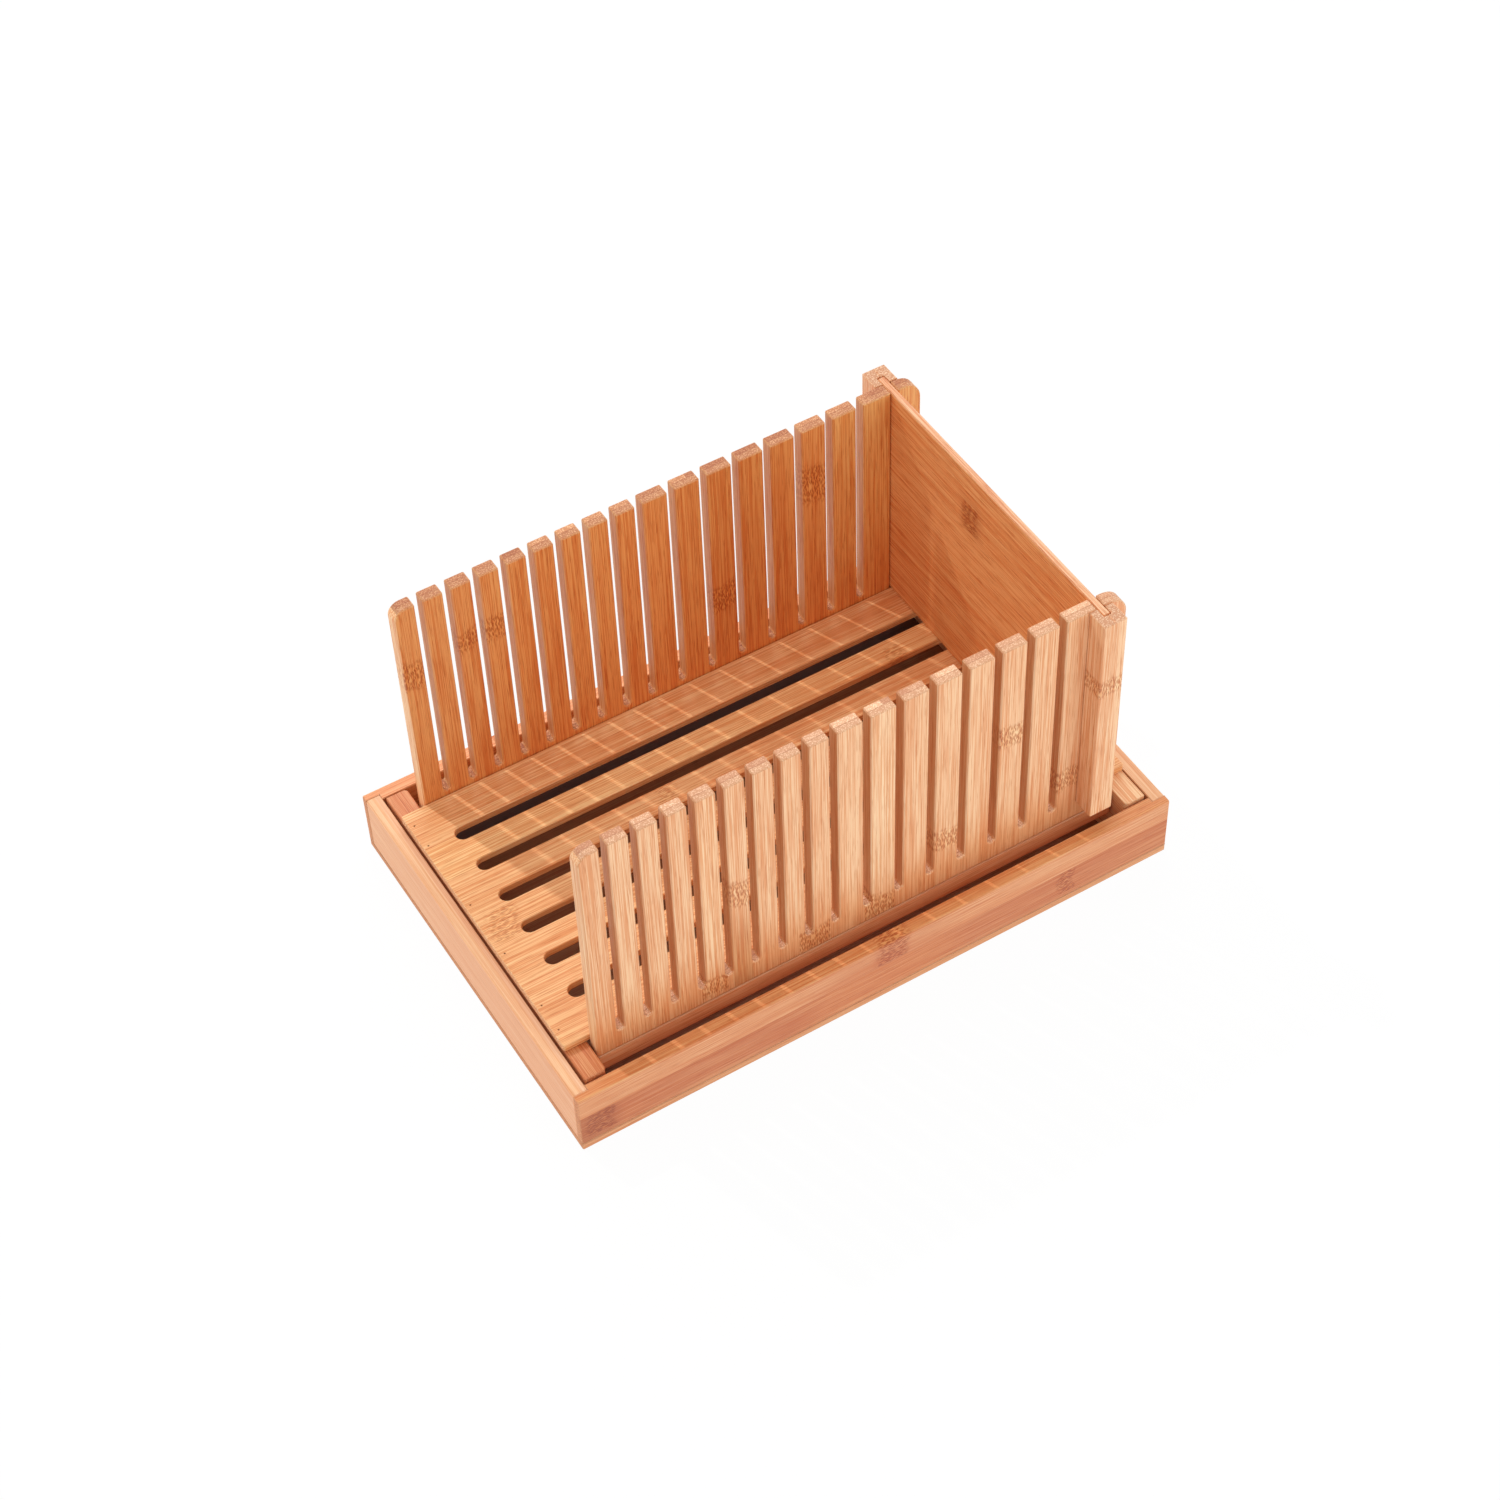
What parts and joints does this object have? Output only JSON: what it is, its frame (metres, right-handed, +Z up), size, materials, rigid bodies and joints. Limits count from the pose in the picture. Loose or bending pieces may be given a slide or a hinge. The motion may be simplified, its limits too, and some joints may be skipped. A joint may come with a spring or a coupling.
{
  "type": "bread slicing guide",
  "caption": "Bread slicing guide: a crumb tray with a lift-out slotted board, comb-like side guides hinged on pins, and a back stop that slides down between them.",
  "frame": {"origin": "middle of the tray's underside", "axes": "+X from the front to the back stop, +Y from the near side to the far side, +Z up"},
  "size_m": [0.34, 0.223, 0.1835],
  "materials": {
    "bamboo_honey": "satin oiled bamboo",
    "bamboo_pale": "satin oiled bamboo",
    "bamboo_red": "satin oiled bamboo",
    "pin_steel": "plain steel",
    "brad_steel": "dull, sunk in the wood"
  },
  "bodies": {
    "tray": {"tray_floor": "bamboo_pale", "tray_wall_near": "bamboo_red", "tray_wall_far": "bamboo_honey", "tray_wall_front": "bamboo_pale", "tray_wall_back": "bamboo_honey"},
    "base": {"slotted_board": "bamboo_honey", "batten_front": "bamboo_honey", "batten_back": "bamboo_honey", "hinge_pin_near_front": "pin_steel", "hinge_pin_near_back": "pin_steel", "hinge_pin_far_front": "pin_steel", "hinge_pin_far_back": "pin_steel", "board_brad_1": "brad_steel", "board_brad_2": "brad_steel", "board_brad_3": "brad_steel", "board_brad_4": "brad_steel", "board_brad_5": "brad_steel", "board_brad_6": "brad_steel", "board_brad_7": "brad_steel", "board_brad_8": "brad_steel", "board_brad_9": "brad_steel", "board_brad_10": "brad_steel", "board_brad_11": "brad_steel", "board_brad_12": "brad_steel"},
    "guide_near": {"guide_comb_near": "bamboo_pale", "guide_foot_near": "bamboo_red", "guide_post_near_front": "bamboo_pale", "guide_post_near_back": "bamboo_pale"},
    "guide_far": {"guide_comb_far": "bamboo_honey", "guide_foot_far": "bamboo_red", "guide_post_far_front": "bamboo_pale", "guide_post_far_back": "bamboo_pale"},
    "back_stop": {"back_stop": "bamboo_honey"}
  },
  "joints": [
    {"name": "base_lift", "type": "slide", "parent": "tray", "child": "base", "axis": [0, 0, 1], "range_m": [0, 0.06]},
    {"name": "guide_near_lean", "type": "hinge", "parent": "base", "child": "guide_near", "pos_m": [0, -0.08775, 0.0288], "axis": [1, 0, 0], "range_deg": [0, 22]},
    {"name": "guide_far_lean", "type": "hinge", "parent": "base", "child": "guide_far", "pos_m": [0, 0.08775, 0.0288], "axis": [-1, 0, 0], "range_deg": [0, 22]},
    {"name": "back_stop_slide", "type": "slide", "parent": "base", "child": "back_stop", "axis": [0, 0, 1], "range_m": [0, 0.15]}
  ]
}
